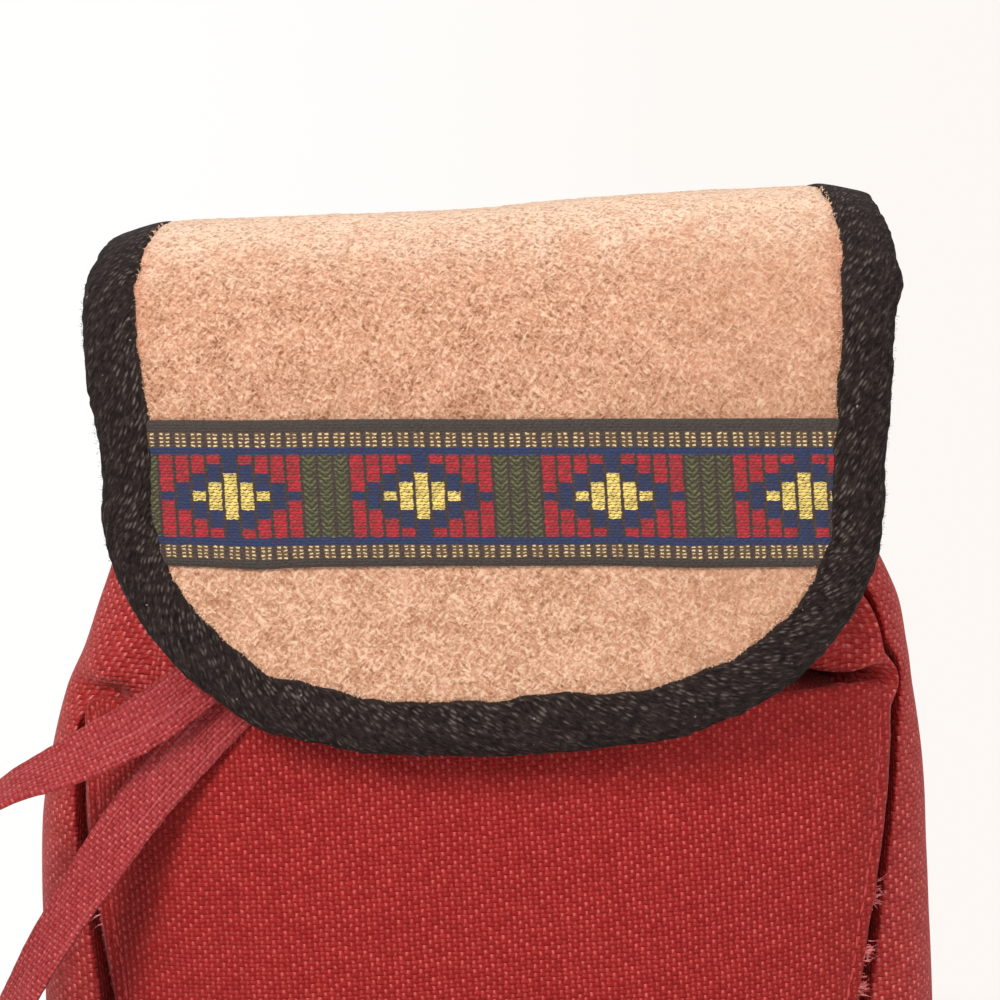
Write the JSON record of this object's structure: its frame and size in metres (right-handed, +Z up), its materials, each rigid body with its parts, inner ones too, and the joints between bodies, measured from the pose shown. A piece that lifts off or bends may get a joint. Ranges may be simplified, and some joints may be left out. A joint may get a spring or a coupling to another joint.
{
  "type": "sling backpack",
  "caption": "Small sling backpack: a gathered drawstring sack of coarse red cloth with a patch pocket, closed by a tape-bound suede flap with a woven ribbon.",
  "frame": {"origin": "middle of the flat base, on the surface that the bag stands on", "axes": "+Z up, -Y out of the front with the flap and pocket, +X to the right of someone who faces the front"},
  "size_m": [0.1885, 0.168, 0.2168],
  "materials": {
    "red_cloth": "coarse plain weave, faintly shiny",
    "tie_cloth": "coarse plain weave, folded and stitched",
    "suede": "napped, matt",
    "lining_cloth": "plain weave, matt",
    "binding_tape": "black herringbone braid, matt",
    "woven_ribbon": "jacquard weave in red, blue, yellow and olive",
    "webbing": "flat webbing",
    "black_plastic": "moulded, satin",
    "plated_steel": "plated wire"
  },
  "bodies": {
    "bag": {"bottom_panel": "red_cloth", "front_panel": "red_cloth", "back_panel": "red_cloth", "left_gusset": "red_cloth", "right_gusset": "red_cloth", "gathered_collar": "red_cloth", "drawstring_casing": "red_cloth", "drawstring": "tie_cloth", "drawstring_tail_upper": "tie_cloth", "drawstring_tail_lower": "tie_cloth", "pocket_panel": "red_cloth", "back_yoke": "red_cloth", "sling_strap": "webbing", "strap_slider": "black_plastic", "strap_ring": "plated_steel", "strap_tab": "webbing"},
    "flap": {"flap_suede": "suede", "flap_lining": "lining_cloth", "flap_binding": "binding_tape", "flap_ribbon": "woven_ribbon"}
  },
  "joints": [
    {"name": "flap_hinge", "type": "hinge", "parent": "bag", "child": "flap", "pos_m": [0, 0.038, 0.186], "axis": [-1, 0, 0], "range_deg": [0, 120]}
  ]
}
